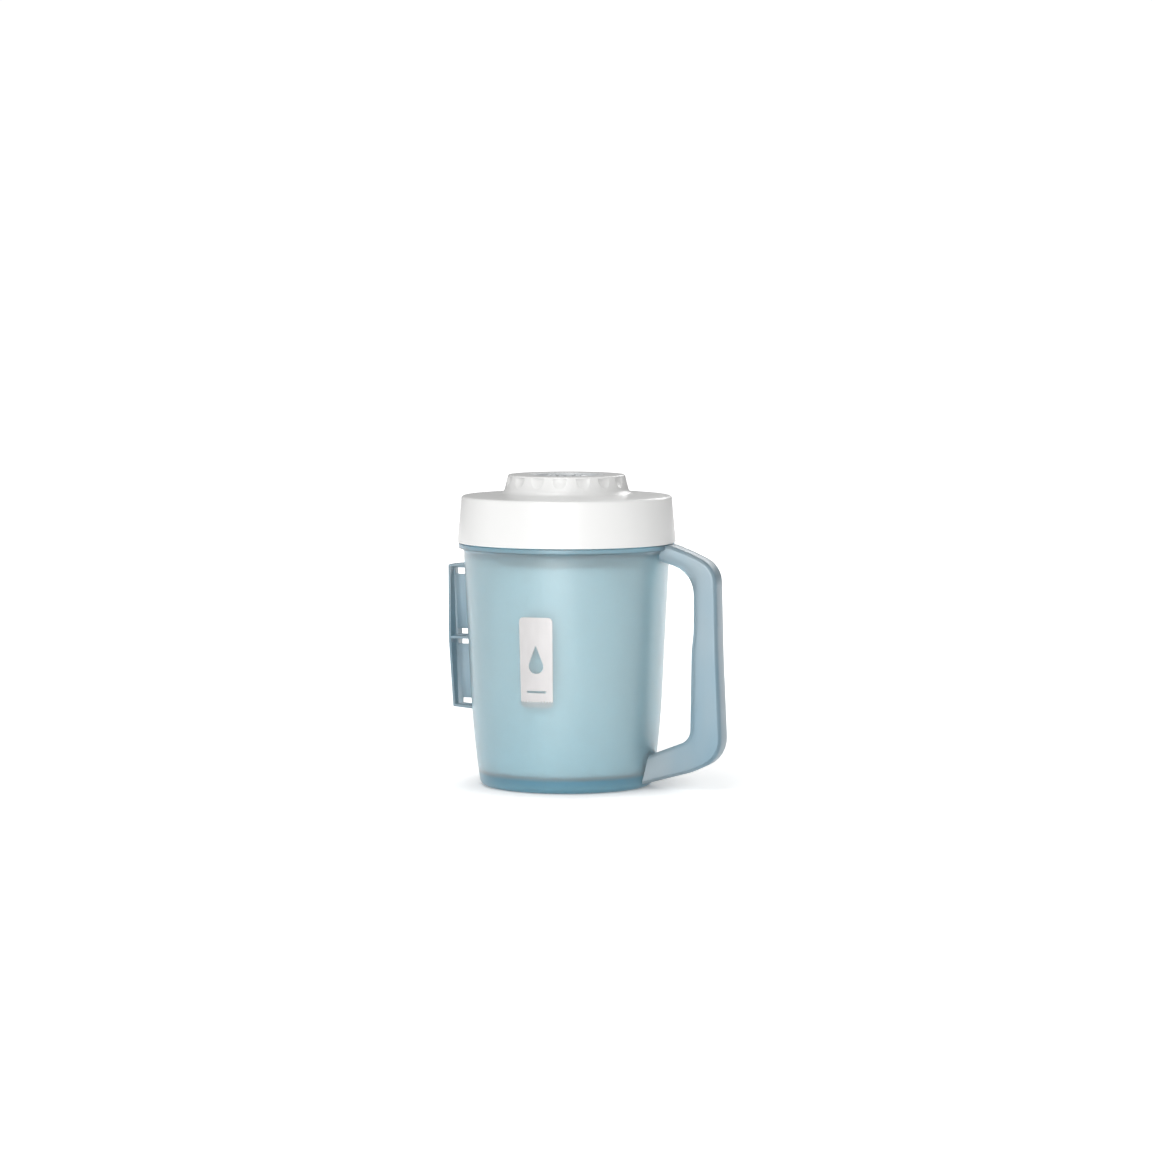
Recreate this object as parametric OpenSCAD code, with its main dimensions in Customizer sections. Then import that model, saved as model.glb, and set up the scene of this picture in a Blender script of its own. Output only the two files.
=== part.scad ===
// Portable centre-feed wipe dispenser: a translucent carrying bucket with a D handle and a
// hanger rail, a bayonet lid with a turning nozzle, and the roll of wipes that it holds.
// Millimetres. The origin is on the bucket's axis, in the plane that it stands on. +Z is up,
// the handle is along +X and the hanger rail along -X.

/* [Bucket] */
// Outer radius of the wall just under the rim
wall_top_r = 115.5; // [114:0.5:116]
// Height of the wall's top, where the rim flange begins
wall_top_z = 258; // [254:1:260]
// Taper of the straight upper wall, as radius per height
wall_taper = 0.05; // [0.04:0.005:0.055]
// Height below which the wall curves in towards the foot
bend_z = 120; // [100:5:140]
// Radius of that curve
bend_r = 1100; // [1050:25:1300]
// Thickness of the wall
wall = 2; // [1.8:0.1:2.2]
// Height of the floor's upper face
floor_z = 17.5; // [16:0.5:20]
// Radius of the rounded foot
foot_r = 8; // [6:0.5:9]
// Outer radius of the rim flange that the lid comes down to
flange_r = 121.5; // [120:0.5:122]
// Height of the rim flange's upper face
flange_z = 273.2; // [272.5:0.1:273.4]
// Outer radius of the neck inside the lid
neck_r = 113.4; // [113:0.1:113.5]
// Height of the neck's rim
neck_z = 319; // [317:0.5:319]

/* [Lid] */
// Outer radius at the skirt's lower edge
skirt_low_r = 123; // [122.5:0.5:124]
// Outer radius at the skirt's upper edge
skirt_top_r = 118.2; // [118:0.1:119]
// Height of the skirt's lower edge
skirt_low_z = 274; // [274:0.2:275]
// Height of the skirt's upper edge
skirt_top_z = 326.2; // [326:0.1:327]
// Thickness of the skirt and the roof
lid_wall = 2.4; // [2:0.1:2.5]
// Outer radius of the hub's flat top
hub_r = 65; // [63:0.5:66]
// Height of the hub's flat top
hub_z = 350; // [349:0.5:352]
// Draft of the hub's side, in degrees
hub_draft = 14; // [12:0.5:16]
// Number of finger scallops around the hub
scallops = 16; // [12:1:20]
// Depth of a scallop
scallop_depth = 1.8; // [1:0.1:2]
// Angle that the lid turns to lock, in degrees
lock_turn = 40; // [36:1:42]

/* [Nozzle] */
// Radius of the bore that the nozzle turns in
nozzle_bore_r = 38.42; // [38:0.02:39]
// Radial clearance of the turning nozzle
nozzle_clearance = 0.07; // [0.04:0.01:0.1]
// Radius of the throat that the wipe is pulled through
throat_r = 9.6; // [8:0.2:11]
// Radius of the bell at its lower lip
bell_r = 34; // [30:0.5:36]
// Height of the bell's lower lip
bell_z = 302; // [300:0.5:306]
// Number of fingers in the crown
fingers = 14; // [10:1:18]
// Radius of the ring that the fingertips make
fingertip_r = 19.5; // [18:0.5:22]
// Number of teeth in the tear ring
teeth = 8; // [6:1:10]

/* [Handle] */
// Width of the grip, side to side
grip_w = 30; // [28:0.5:32]
// Wall thickness of the grip shell
grip_wall = 2.6; // [2.2:0.1:3]
// Thickness of the spine cover
cover_t = 3; // [2.5:0.1:3.5]
// Width of the lower arm where it meets the bucket
lower_root_w = 46; // [40:1:52]
// Width of the upper arm where it meets the bucket
upper_root_w = 36; // [34:1:40]

/* [Hanger rail] */
// Thickness of the rail's web, flange and ribs
rail_t = 2.5; // [2:0.1:3]
// Height of the rail's top rib
rail_top_z = 245; // [242:1:248]
// Height of the rail's middle rib
rail_mid_z = 164; // [160:1:168]
// Height of the rail's bottom rib
rail_low_z = 86; // [84:1:90]
// Width of the flange at its ends
rail_end_w = 25; // [22:1:28]
// Width of the flange at the middle rib
rail_mid_w = 39; // [36:1:42]

/* [Wipe roll] */
// Outer radius of a full roll
roll_r = 95; // [60:1:95]
// Radius of its hollow core
core_r = 27.5; // [25:0.5:30]
// Width of the web, which is the height of the roll
roll_h = 235; // [190:1:235]

/* [Hidden] */
$fn = 96;

part_gap = 0.05;        // between two pieces that are fixed face to face
body_gap = 0.3;         // between two pieces that move past each other
reach = 400;            // long enough to pass through the whole object

// Outer radius of the bucket's wall at a height
function wall_r(z) =
    wall_top_r - wall_taper * (wall_top_z - z) - (z < bend_z ? (bend_z - z)^2 / (2 * bend_r) : 0);

// --- Outlines. A vertex is [x, y, radius], and its radius rounds that corner. ---

arc_step = 15;          // most degrees between two points of an arc
arc_chord = 14;         // most length between them

function xy(p) = [p[0], p[1]];
function unit(v) = v / norm(v);

// The points of the arc that rounds corner b between its neighbours a and c
function corner(a, b, c) =
    b[2] == 0 ? [xy(b)] :
    let (
        u = unit(xy(a) - xy(b)),
        v = unit(xy(c) - xy(b)),
        half = acos(u * v) / 2,
        centre = xy(b) + unit(u + v) * b[2] / sin(half),
        first = xy(b) + u * b[2] / tan(half) - centre,
        last = xy(b) + v * b[2] / tan(half) - centre,
        sweep = 180 - 2 * half,
        turn = sign(first[0] * last[1] - first[1] * last[0]) * sweep,
        steps = max(2, ceil(sweep / arc_step), ceil(b[2] * sweep * PI / 180 / arc_chord)),
        start = atan2(first[1], first[0])
    )
    [for (i = [0:steps]) centre + b[2] * [cos(start + turn * i / steps), sin(start + turn * i / steps)]];

// A closed outline with its corners rounded
function outline(p) =
    [for (i = [0:len(p) - 1]) each corner(p[(i + len(p) - 1) % len(p)], p[i], p[(i + 1) % len(p)])];

// An open path with its inner corners rounded
function path(p) =
    [for (i = [0:len(p) - 1])
        each (i == 0 || i == len(p) - 1) ? [xy(p[i])] : corner(p[i - 1], p[i], p[i + 1])];

function backwards(p) = [for (i = [len(p) - 1:-1:0]) p[i]];

// The direction to the right of the way from a to b
function right_of(a, b) = let (u = unit(xy(b) - xy(a))) [u[1], -u[0]];

// An open path moved to its right by d, with its corner radii kept parallel
function shifted(p, d) =
    [for (i = [0:len(p) - 1])
        let (
            before = right_of(p[max(i - 1, 0)], p[max(i, 1)]),
            after = right_of(p[min(i, len(p) - 2)], p[min(i + 1, len(p) - 1)]),
            mitre = (before + after) / (1 + before * after),
            bends = sign(before[0] * after[1] - before[1] * after[0])
        )
        [p[i][0] + d * mitre[0], p[i][1] + d * mitre[1], p[i][2] == 0 ? 0 : p[i][2] + d * bends]];

// --- Bucket ---

// The vertex between the straight wall and the foot that gives the wall's curve its radius
function bow(inset) = let (z = (bend_z + foot_r) / 2)
    [wall_r(bend_z) - wall_taper * (bend_z - z) - inset, z, bend_r];

lug_z = 296;            // underside of the neck's bayonet lugs
lug_h = 5;
lug_r = 117.2;          // outer radius of the neck's lugs
lug_angle = 20;         // angle that each lug covers
lugs = 4;
stop_angle = 2.5;       // angle that the end stop beside each lug covers
stop_gap = 0.3;         // angle left between a stop and the lid's lug at full lock
flange_edge_z = 268;    // underside of the rim flange
flange_fillet = 6;

// A sector of a ring about the axis
module sector(inner, outer, low, high, middle, angle) {
    rotate([0, 0, middle - angle / 2])
        rotate_extrude(angle = angle)
            polygon([[inner, low], [outer, low], [outer, high], [inner, high]]);
}

// The space that the wall and its rim flange fill, grown by gap, for fitting pieces to the wall
module envelope(gap) {
    rotate_extrude()
        polygon(concat(
            [[0, -reach / 10]],
            outline([
                [wall_r(foot_r) - foot_r, -gap, 0],
                [wall_r(foot_r) + gap, -gap, foot_r + gap],
                bow(-gap),
                [wall_top_r + gap, wall_top_z, 0],
                [wall_top_r + gap, flange_edge_z - gap, flange_fillet - gap],
                [flange_r + gap, flange_edge_z - gap, 0],
                [flange_r + gap, flange_z, 0]
            ]),
            [[0, flange_z]]));
}

module bucket_shell() {
    skirt_in = wall + 0.2;
    rotate_extrude()
        polygon(outline([
            [wall_r(foot_r) - foot_r - 3, 0, 0],
            [wall_r(foot_r), 0, foot_r],
            bow(0),
            [wall_top_r, wall_top_z, 0],
            [wall_top_r, flange_edge_z, flange_fillet],
            [flange_r, flange_edge_z, 0.8],
            [flange_r, flange_z, 0.8],
            [neck_r, flange_z, 0.6],
            [neck_r, neck_z, 1],
            [neck_r - wall - 0.2, neck_z, 1],
            [neck_r - wall - 0.2, flange_edge_z, 6],
            [wall_top_r - wall, wall_top_z, 6],
            [wall_r(bend_z) - wall, bend_z, 0],
            bow(wall),
            [wall_r(floor_z) - wall, floor_z, 2],
            [0, floor_z, 0],
            [0, floor_z - 2.5, 0],
            [wall_r(floor_z) - skirt_in, floor_z - 2.5, 1],
            [wall_r(foot_r) - skirt_in, wall, foot_r - wall - 0.2],
            [wall_r(foot_r) - foot_r - 3, wall, 0]
        ]));
}

module neck_lugs() {
    for (i = [0:lugs - 1]) {
        middle = i * 360 / lugs;
        sector(neck_r - 1, lug_r, lug_z, lug_z + lug_h, middle, lug_angle);
        sector(neck_r - 1, lug_r, lug_z - 9, lug_z + lug_h,
            middle - lug_angle / 2 - stop_gap - stop_angle / 2, stop_angle);
    }
}

// The two low ribs beside the rail's web, and the four catches that its windows clip over
module rail_seat() {
    guide_t = 1.5;
    guide_h = 2.2;
    for (side = [-1, 1])
        intersection() {
            translate([-reach / 2, side * (rail_t / 2 + part_gap + guide_t / 2) - guide_t / 2, rail_low_z])
                cube([reach / 2, guide_t, rail_top_z - rail_low_z]);
            difference() {
                envelope(guide_h);
                envelope(-wall / 2);
            }
        }
    for (window = rail_windows)
        intersection() {
            translate([-reach / 2, -rail_t / 2, window[0] + 1.5])
                cube([reach / 2, rail_t, window[1] - window[0] - 3]);
            difference() {
                envelope(3.5);
                envelope(-wall / 2);
            }
        }
}

module bucket() {
    color([0.62, 0.80, 0.86]) {
        bucket_shell();
        neck_lugs();
        rail_seat();
    }
}

// --- Hanger rail: a T section, web on the wall, flange outside, three ribs across ---

// The windows in the web: [bottom, top, how far out each one goes]
rail_windows = [[87.5, 94, 123.8], [155.5, 161.5, 129.4], [166.5, 173, 129.4], [235, 242, 132.6]];
flange_low_r = 128.9;   // the flange's inner face at the bottom rib
flange_lean = 1.96;     // how far the flange leans outwards, in degrees

function rail_flange_r(z) = flange_low_r + (z - rail_low_z) * tan(flange_lean);

// A rib at height z, as wide as w, whose outer end drops by lean degrees
module rail_rib(z, w, lean) {
    translate([-rail_flange_r(z) - 1, 0, z])
        rotate([0, -lean, 0])
            translate([0, -w / 2, -rail_t / 2])
                cube([50, w, rail_t]);
}

module rail_flange() {
    half_end = rail_end_w / 2;
    half_mid = rail_mid_w / 2;
    low = rail_low_z - rail_t / 2;
    high = rail_top_z + rail_t / 2;
    translate([-rail_flange_r(0), 0, 0])
        rotate([0, -flange_lean, 0])
            rotate([90, 0, -90])
                linear_extrude(rail_t)
                    polygon(outline([
                        [-half_end, low, 1.5], [half_end, low, 1.5],
                        [half_mid, rail_mid_z - 5, 12], [half_mid, rail_mid_z + 5, 12],
                        [half_end, high, 1.5], [-half_end, high, 1.5],
                        [-half_mid, rail_mid_z + 5, 12], [-half_mid, rail_mid_z - 5, 12]
                    ]));
}

module rail_web() {
    difference() {
        rotate([90, 0, 0])
            translate([0, 0, -rail_t / 2])
                linear_extrude(rail_t)
                    polygon([
                        [-rail_flange_r(rail_low_z) - 0.5, rail_low_z], [-90, rail_low_z],
                        [-90, rail_top_z], [-rail_flange_r(rail_top_z) - 0.5, rail_top_z]
                    ]);
        for (window = rail_windows)
            translate([-window[2], -rail_t, window[0]])
                cube([window[2], 2 * rail_t, window[1] - window[0]]);
    }
}

module hanger_rail() {
    color([0.52, 0.74, 0.82])
        difference() {
            union() {
                rail_web();
                rail_flange();
                rail_rib(rail_top_z, rail_end_w, 6);
                rail_rib(rail_mid_z, rail_mid_w - 2, 0);
                rail_rib(rail_low_z, rail_end_w, -5);
            }
            envelope(part_gap);
            // clears the two guide ribs that stand on the wall beside the web
            difference() {
                envelope(2.2 + part_gap);
                translate([-reach / 2, -rail_t / 2, 0])
                    cube([reach, rail_t, reach]);
            }
        }
}

// --- Handle: the side view as two paths, each from the upper root to the lower root ---

handle_outer = [
    [108, flange_z, 0], [126, flange_z, 8], [146, 265.8, 60], [178.5, 251, 30],
    [181, 150, 400], [186, 36, 34], [150.5, 19.6, 60], [88, 2.8, 0]
];
handle_inner = [
    [108, 257.5, 0], [152, 242.8, 33], [152, 176, 90], [149.8, 156, 90], [148.4, 55.7, 17], [90, 33, 0]
];
arm_split_z = 150;      // above this height the upper arm's width rules, and below it the lower arm's
root_wall = 3;

module handle_side(outer, inner, width) {
    rotate([90, 0, 0])
        translate([0, 0, -width / 2])
            linear_extrude(width)
                polygon(concat(path(outer), backwards(path(inner))));
}

// What lies within the handle's width, seen from above, less an inset all round
module handle_plan(inset) {
    for (arm = [[-10, arm_split_z, lower_root_w, 98, 140], [arm_split_z, reach, upper_root_w, 112, 150]])
        translate([0, 0, arm[0]])
            linear_extrude(arm[1] - arm[0])
                polygon(outline([
                    [220, grip_w / 2 - inset, 0], [arm[4], grip_w / 2 - inset, 70],
                    [arm[3], arm[2] / 2 - inset, 0], [80, arm[2] / 2 - inset, 0],
                    [80, inset - arm[2] / 2, 0], [arm[3], inset - arm[2] / 2, 0],
                    [arm[4], inset - grip_w / 2, 70], [220, inset - grip_w / 2, 0]
                ]));
}

module handle_grip() {
    seat = shifted(handle_outer, cover_t);
    color([0.60, 0.78, 0.84])
        difference() {
            intersection() {
                handle_side(seat, handle_inner, 80);
                handle_plan(0);
            }
            difference() {
                intersection() {
                    handle_side(shifted(handle_outer, cover_t - 1), shifted(handle_inner, -grip_wall), 80);
                    handle_plan(grip_wall);
                }
                envelope(root_wall);
            }
            envelope(part_gap);
        }
}

module handle_cover() {
    snap_h = 5;
    snap_t = 1.5;
    snap_y = grip_w / 2 - grip_wall - 0.2 - snap_t;
    color([0.80, 0.88, 0.91])
        difference() {
            union() {
                intersection() {
                    handle_side(handle_outer, shifted(handle_outer, cover_t - part_gap), 80);
                    handle_plan(0);
                }
                for (y = [-snap_y - snap_t, snap_y])
                    intersection() {
                        translate([0, y + snap_t / 2, 0])
                            handle_side(shifted(handle_outer, cover_t - 1), shifted(handle_outer, cover_t + snap_h), snap_t);
                        translate([160, -40, 60])
                            cube([60, 80, 170]);
                    }
            }
            envelope(part_gap);
        }
}

// --- Wipe roll ---

module wipe_roll() {
    color([0.96, 0.96, 0.95])
        translate([0, 0, floor_z])
            rotate_extrude()
                polygon(outline([
                    [core_r, 0, 0], [roll_r, 0, 2], [roll_r, roll_h, 3], [core_r, roll_h, 2]
                ]));
}

// --- Lid ---

roof_z = 324.4;         // the roof's underside over the gasket
plug_r = 109.6;         // outer radius of the centring rib inside the neck
recess_r = 42.4;        // the recess in the hub that the nozzle's flange lies in
recess_z = hub_z - 2.7;
collar_z = 331;         // lower end of the collar around the nozzle's bore
hub_wall = 4;

// Outer radius of the hub's side at a height
function hub_side_r(z) = hub_r + 0.6 + (hub_z - z) * tan(hub_draft);

module lid_gasket() {
    color([0.25, 0.27, 0.29])
        rotate_extrude()
            polygon(outline([
                [plug_r + body_gap, neck_z + body_gap, 1], [114.6, neck_z + body_gap, 1],
                [114.6, roof_z - body_gap - 0.5, 1], [plug_r + body_gap, roof_z - body_gap - 0.5, 1]
            ]));
}

module lid_body() {
    rotate_extrude()
        polygon(outline([
            [skirt_low_r, skirt_low_z, 0.6],
            [skirt_top_r, skirt_top_z, 3.2],
            [97, 328.1, 200],
            [hub_side_r(329.2), 329.2, 7],
            [hub_side_r(hub_z), hub_z, 1.4],
            [recess_r, hub_z, 0.4],
            [recess_r, recess_z, 0],
            [nozzle_bore_r, recess_z, 0],
            [nozzle_bore_r, collar_z, 0],
            [nozzle_bore_r + lid_wall, collar_z, 0.5],
            [nozzle_bore_r + lid_wall, recess_z - lid_wall, 1],
            [recess_r + 3, recess_z - lid_wall, 1],
            [recess_r + 3, hub_z - lid_wall, 1],
            [hub_side_r(hub_z) - hub_wall, hub_z - lid_wall, 2],
            [hub_side_r(329.2) - hub_wall, 326.6, 6],
            [97, 325.7, 200],
            [plug_r - 2.2, roof_z + 0.2, 1],
            [plug_r - 2.2, 312, 0.5],
            [plug_r, 312, 0.5],
            [plug_r, roof_z, 0],
            [skirt_top_r - lid_wall, roof_z - 0.5, 2],
            [skirt_low_r - lid_wall, skirt_low_z, 0.4]
        ]));
}

// One cutter of the scallops round the hub: a round-ended flute along the drafted side
module scallop_cutter() {
    cutter_r = 26;
    foot_z = hub_z - 14;
    rim_z = hub_z - 1.8;
    band = 3;
    half_pitch = 180 / scallops - 0.5;
    intersection() {
        translate([hub_side_r(foot_z) - scallop_depth * cos(hub_draft), 0, foot_z])
            rotate([0, -hub_draft, 0])
                translate([cutter_r, 0, 9.5]) {
                    sphere(cutter_r);
                    cylinder(h = 40, r = cutter_r);
                }
        // only the hub's side, below its plain rim, and only its own share of the ring
        rotate([0, 0, -half_pitch])
            rotate_extrude(angle = 2 * half_pitch)
                polygon([
                    [hub_side_r(foot_z - 1) - band, foot_z - 1], [hub_side_r(foot_z - 1) + band, foot_z - 1],
                    [hub_side_r(rim_z) + band, rim_z], [hub_side_r(rim_z) - band, rim_z]
                ]);
    }
}

module lid_lugs() {
    for (i = [0:lugs - 1])
        intersection() {
            sector(neck_r + 0.6, skirt_low_r - 1, lug_z - 7.5, lug_z - 1, lock_turn + i * 360 / lugs, lug_angle);
            rotate_extrude()
                polygon([
                    [neck_r, skirt_low_z], [skirt_low_r - 1.2, skirt_low_z],
                    [skirt_top_r - 1.2, skirt_top_z], [neck_r, skirt_top_z]
                ]);
        }
}

module lid_shell() {
    color([0.95, 0.95, 0.95]) {
        difference() {
            lid_body();
            for (i = [0:scallops - 1])
                rotate([0, 0, (i + 0.5) * 360 / scallops])
                    scallop_cutter();
        }
        lid_lugs();
    }
}

// --- Nozzle ---

cup_z = 338;            // floor of the cup that the fingers stand in
cup_r = 35.5;
barrel_r = nozzle_bore_r - nozzle_clearance;
groove_r = 37;          // the snap groove under the lid's collar
groove_z = 328.9;
seat_r = 15.1;          // the collar round the tear ring
seat_h = 2.2;

module nozzle_housing() {
    color([0.90, 0.91, 0.92])
        rotate_extrude()
            polygon(outline([
                [recess_r - body_gap - 0.1, hub_z - 0.3, 0.6],
                [recess_r - body_gap - 0.1, recess_z + body_gap, 0],
                [barrel_r, recess_z + body_gap, 0],
                [barrel_r, collar_z, 0],
                [groove_r, collar_z, 0],
                [groove_r, groove_z, 0],
                [groove_r + 0.6, groove_z, 0],
                [groove_r + 0.6, groove_z - 1.4, 0.5],
                [cup_r, groove_z - 1.4, 0],
                [cup_r, cup_z - lid_wall, 1],
                [throat_r + 2.2, cup_z - lid_wall, 1],
                [throat_r + 2.2, cup_z - 12, 10],
                [bell_r, bell_z, 0.5],
                [bell_r - 2, bell_z, 0.5],
                [throat_r, cup_z - 11, 12],
                [throat_r, cup_z, 0.8],
                [seat_r, cup_z, 0],
                [seat_r, cup_z + seat_h, 0],
                [seat_r + 1.5, cup_z + seat_h, 0.5],
                [seat_r + 1.5, cup_z, 0],
                [cup_r, cup_z, 0],
                [cup_r, hub_z - 0.3, 0.8]
            ]));
}

module finger_crown() {
    slot_w = 3.2;
    color([0.88, 0.89, 0.90])
        difference() {
            rotate_extrude()
                polygon(outline([
                    [28.5, cup_z + part_gap, 0], [cup_r - 0.2, cup_z + part_gap, 0],
                    [cup_r - 0.2, cup_z + 2.8, 1.5], [fingertip_r + 1, hub_z - 0.1, 0.9],
                    [fingertip_r, hub_z - 2.2, 0.8], [28.5, cup_z + 3, 2]
                ]));
            for (i = [0:fingers - 1])
                rotate([0, 0, i * 360 / fingers])
                    translate([10, -slot_w / 2, cup_z + 2.6])
                        cube([22, slot_w, 20]);
        }
}

module tear_ring() {
    tooth_tip = 5.2;
    tooth_root = throat_r - 0.6;
    color([0.35, 0.38, 0.40])
        translate([0, 0, cup_z + part_gap])
            linear_extrude(seat_h - 0.2)
                difference() {
                    circle(seat_r - 0.1);
                    polygon([for (i = [0:2 * teeth - 1])
                        let (r = i % 2 == 0 ? tooth_tip : tooth_root)
                        r * [cos(i * 180 / teeth), sin(i * 180 / teeth)]]);
                }
}

module nozzle_retainer() {
    color([0.85, 0.86, 0.87])
        rotate_extrude()
            polygon(outline([
                [groove_r + part_gap, groove_z + 0.1, 0], [42, groove_z + 0.1, 0.5],
                [42, collar_z - body_gap, 0.5], [groove_r + part_gap, collar_z - body_gap, 0]
            ]));
}

bucket();
hanger_rail();
handle_grip();
handle_cover();
wipe_roll();
lid_gasket();
lid_shell();
nozzle_housing();
finger_crown();
tear_ring();
nozzle_retainer();
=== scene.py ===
"""Portable centre-feed wipe dispenser: the visible pieces, their materials and the studio."""

from math import atan2, ceil, cos, hypot, pi, radians, sin, tan

import bpy
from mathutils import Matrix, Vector


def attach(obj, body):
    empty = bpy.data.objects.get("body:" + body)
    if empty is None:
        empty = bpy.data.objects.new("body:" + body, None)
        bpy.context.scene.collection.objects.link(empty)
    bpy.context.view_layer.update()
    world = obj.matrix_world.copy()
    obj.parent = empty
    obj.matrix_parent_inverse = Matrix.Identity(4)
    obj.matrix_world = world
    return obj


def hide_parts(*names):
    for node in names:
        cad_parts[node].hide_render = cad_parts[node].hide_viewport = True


bl_info = {
    "name": "Wipe dispenser bucket",
    "version": (1, 0, 0),
    "blender": (4, 5, 0),
    "location": "3D View > Sidebar > Dispenser",
    "description": "Models the bucket, handle, rail, lid, nozzle and roll, and a studio for them",
    "category": "Add Mesh",
}

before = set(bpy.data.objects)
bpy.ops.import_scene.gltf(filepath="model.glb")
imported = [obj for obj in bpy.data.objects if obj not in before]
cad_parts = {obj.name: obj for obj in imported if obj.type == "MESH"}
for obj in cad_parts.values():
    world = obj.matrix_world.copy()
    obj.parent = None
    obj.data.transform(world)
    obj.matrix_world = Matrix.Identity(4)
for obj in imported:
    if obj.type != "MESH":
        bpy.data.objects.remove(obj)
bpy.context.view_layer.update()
MM = 0.001
SMOOTH_ANGLE = radians(32)      # edges sharper than this keep their crease
WELD = 1e-6                     # metres between points that are one
WAVE_PERIOD = pi / 10           # of the wave texture, at a scale of 1


# --- Outlines: a vertex is (x, z, radius) in millimetres, and its radius rounds that corner ---

def corner(before, at, after):
    """The points of the arc that rounds the vertex at between its neighbours."""
    a, b, c = (Vector(p[:2]) for p in (before, at, after))
    radius = at[2]
    if not radius:
        return [b]
    u, v = (a - b).normalized(), (c - b).normalized()
    half = u.angle(v) / 2
    centre = b + (u + v).normalized() * radius / sin(half)
    first, last = (b + way * radius / tan(half) - centre for way in (u, v))
    sweep = (pi - 2 * half) * (1 if first.cross(last) > 0 else -1)
    steps = max(2, ceil(abs(sweep) / radians(12)), ceil(radius * abs(sweep) / 8))
    start = atan2(first.y, first.x)
    angles = [start + sweep * i / steps for i in range(steps + 1)]
    return [centre + radius * Vector((cos(t), sin(t))) for t in angles]


def rounded(points, closed=True):
    """The outline with its corners rounded; an open one keeps its two ends."""
    made, last = [], len(points) - 1
    for i, at in enumerate(points):
        if not closed and i in (0, last):
            made.append(Vector(at[:2]))
        else:
            made += corner(points[i - 1], at, points[(i + 1) % len(points)])
    return made


def shifted(points, distance):
    """An open path moved to its right, with its corner radii kept parallel."""
    def right(a, b):
        way = (Vector(b[:2]) - Vector(a[:2])).normalized()
        return Vector((way.y, -way.x))

    made = []
    for i, at in enumerate(points):
        before = right(points[max(i - 1, 0)], points[max(i, 1)])
        after = right(points[min(i, len(points) - 2)], points[min(i + 1, len(points) - 1)])
        place = Vector(at[:2]) + distance * (before + after) / (1 + before.dot(after))
        bend = (before.cross(after) > 0) - (before.cross(after) < 0)
        made.append((place.x, place.y, at[2] + distance * bend if at[2] else 0))
    return made


def spaced(points, count):
    """The path cut into count steps of equal length."""
    lengths = [0.0]
    for a, b in zip(points, points[1:]):
        lengths.append(lengths[-1] + (b - a).length)
    made, i = [], 0
    for k in range(count + 1):
        want = lengths[-1] * k / count
        while i < len(points) - 2 and lengths[i + 1] < want:
            i += 1
        part = (want - lengths[i]) / max(lengths[i + 1] - lengths[i], 1e-9)
        made.append(points[i].lerp(points[i + 1], part))
    return made


# --- Modelling by operators ---

def only(*pieces):
    """Selects these objects alone, and makes the first one active."""
    if bpy.context.object and bpy.context.object.mode != "OBJECT":
        bpy.ops.object.mode_set(mode="OBJECT")
    bpy.ops.object.select_all(action="DESELECT")
    for piece in pieces:
        piece.select_set(True)
    if pieces:
        bpy.context.view_layer.objects.active = pieces[0]


def close_up():
    """Merges the doubles of the mesh in edit mode, turns its faces outwards and leaves the mode."""
    bpy.ops.mesh.select_all(action="SELECT")
    bpy.ops.mesh.remove_doubles(threshold=WELD)
    bpy.ops.mesh.normals_make_consistent(inside=False)
    bpy.ops.object.mode_set(mode="OBJECT")
    return bpy.context.object


def trace(name, points, closed=True):
    """A new mesh, in edit mode: one vertex, extruded from point to point, in millimetres."""
    only()
    bpy.ops.mesh.primitive_plane_add(size=MM)
    piece = bpy.context.object
    piece.name = piece.data.name = name
    way = [Vector(p) * MM for p in points]
    if closed:
        way.append(way[0])
    bpy.ops.object.mode_set(mode="EDIT")
    bpy.ops.mesh.merge(type="CENTER")
    bpy.ops.transform.translate(value=way[0])
    for a, b in zip(way, way[1:]):
        bpy.ops.mesh.extrude_region_move(TRANSFORM_OT_translate={"value": b - a})
    bpy.ops.mesh.select_all(action="SELECT")
    bpy.ops.mesh.remove_doubles(threshold=WELD)
    return piece


def turned(name, outline, start=0, sweep=360, steps=192, closed=True):
    """An outline of radius and height, spun about the axis from the angle start."""
    a = radians(start)
    piece = trace(name, [(p[0] * cos(a), p[0] * sin(a), p[1]) for p in outline], closed)
    if sweep < 360:
        bpy.ops.mesh.edge_face_add()
    bpy.ops.mesh.spin(steps=steps, angle=-radians(sweep), center=(0, 0, 0), axis=(0, 0, 1))
    close_up()
    return piece


def slab(name, points, depth):
    """A flat outline of points, filled and extruded by the vector depth, in millimetres."""
    piece = trace(name, points)
    bpy.ops.mesh.edge_face_add()
    bpy.ops.mesh.extrude_region_move(TRANSFORM_OT_translate={"value": Vector(depth) * MM})
    close_up()
    return piece


def block(name, low, high):
    """A box between two corners, in millimetres, with its place in its mesh."""
    only()
    low, high = Vector(low) * MM, Vector(high) * MM
    bpy.ops.mesh.primitive_cube_add(size=1, location=(low + high) / 2, scale=high - low)
    piece = bpy.context.object
    piece.name = name
    bpy.ops.object.transform_apply(location=True, rotation=True, scale=True)
    return piece


def round_the_axis(piece, count, first=0.0):
    """Copies the piece round the axis, each copy with its own mesh, and joins them."""
    made = [piece]
    for i in range(1, count):
        only(piece)
        bpy.ops.object.duplicate()
        made.append(bpy.context.object)
    for i, copy in enumerate(made):
        only(copy)
        bpy.ops.object.mode_set(mode="EDIT")
        bpy.ops.mesh.select_all(action="SELECT")
        bpy.ops.transform.rotate(value=-radians(first + i * 360 / count), orient_axis="Z",
                                 center_override=(0, 0, 0))
        bpy.ops.object.mode_set(mode="OBJECT")
    only(*made)
    bpy.ops.object.join()
    return bpy.context.object


def modify(piece, kind, **settings):
    """Adds a modifier with these settings and applies it."""
    only(piece)
    bpy.ops.object.modifier_add(type=kind)
    made = piece.modifiers[-1]
    for key, value in settings.items():
        setattr(made, key, value)
    bpy.ops.object.modifier_apply(modifier=made.name)
    return piece


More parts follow.
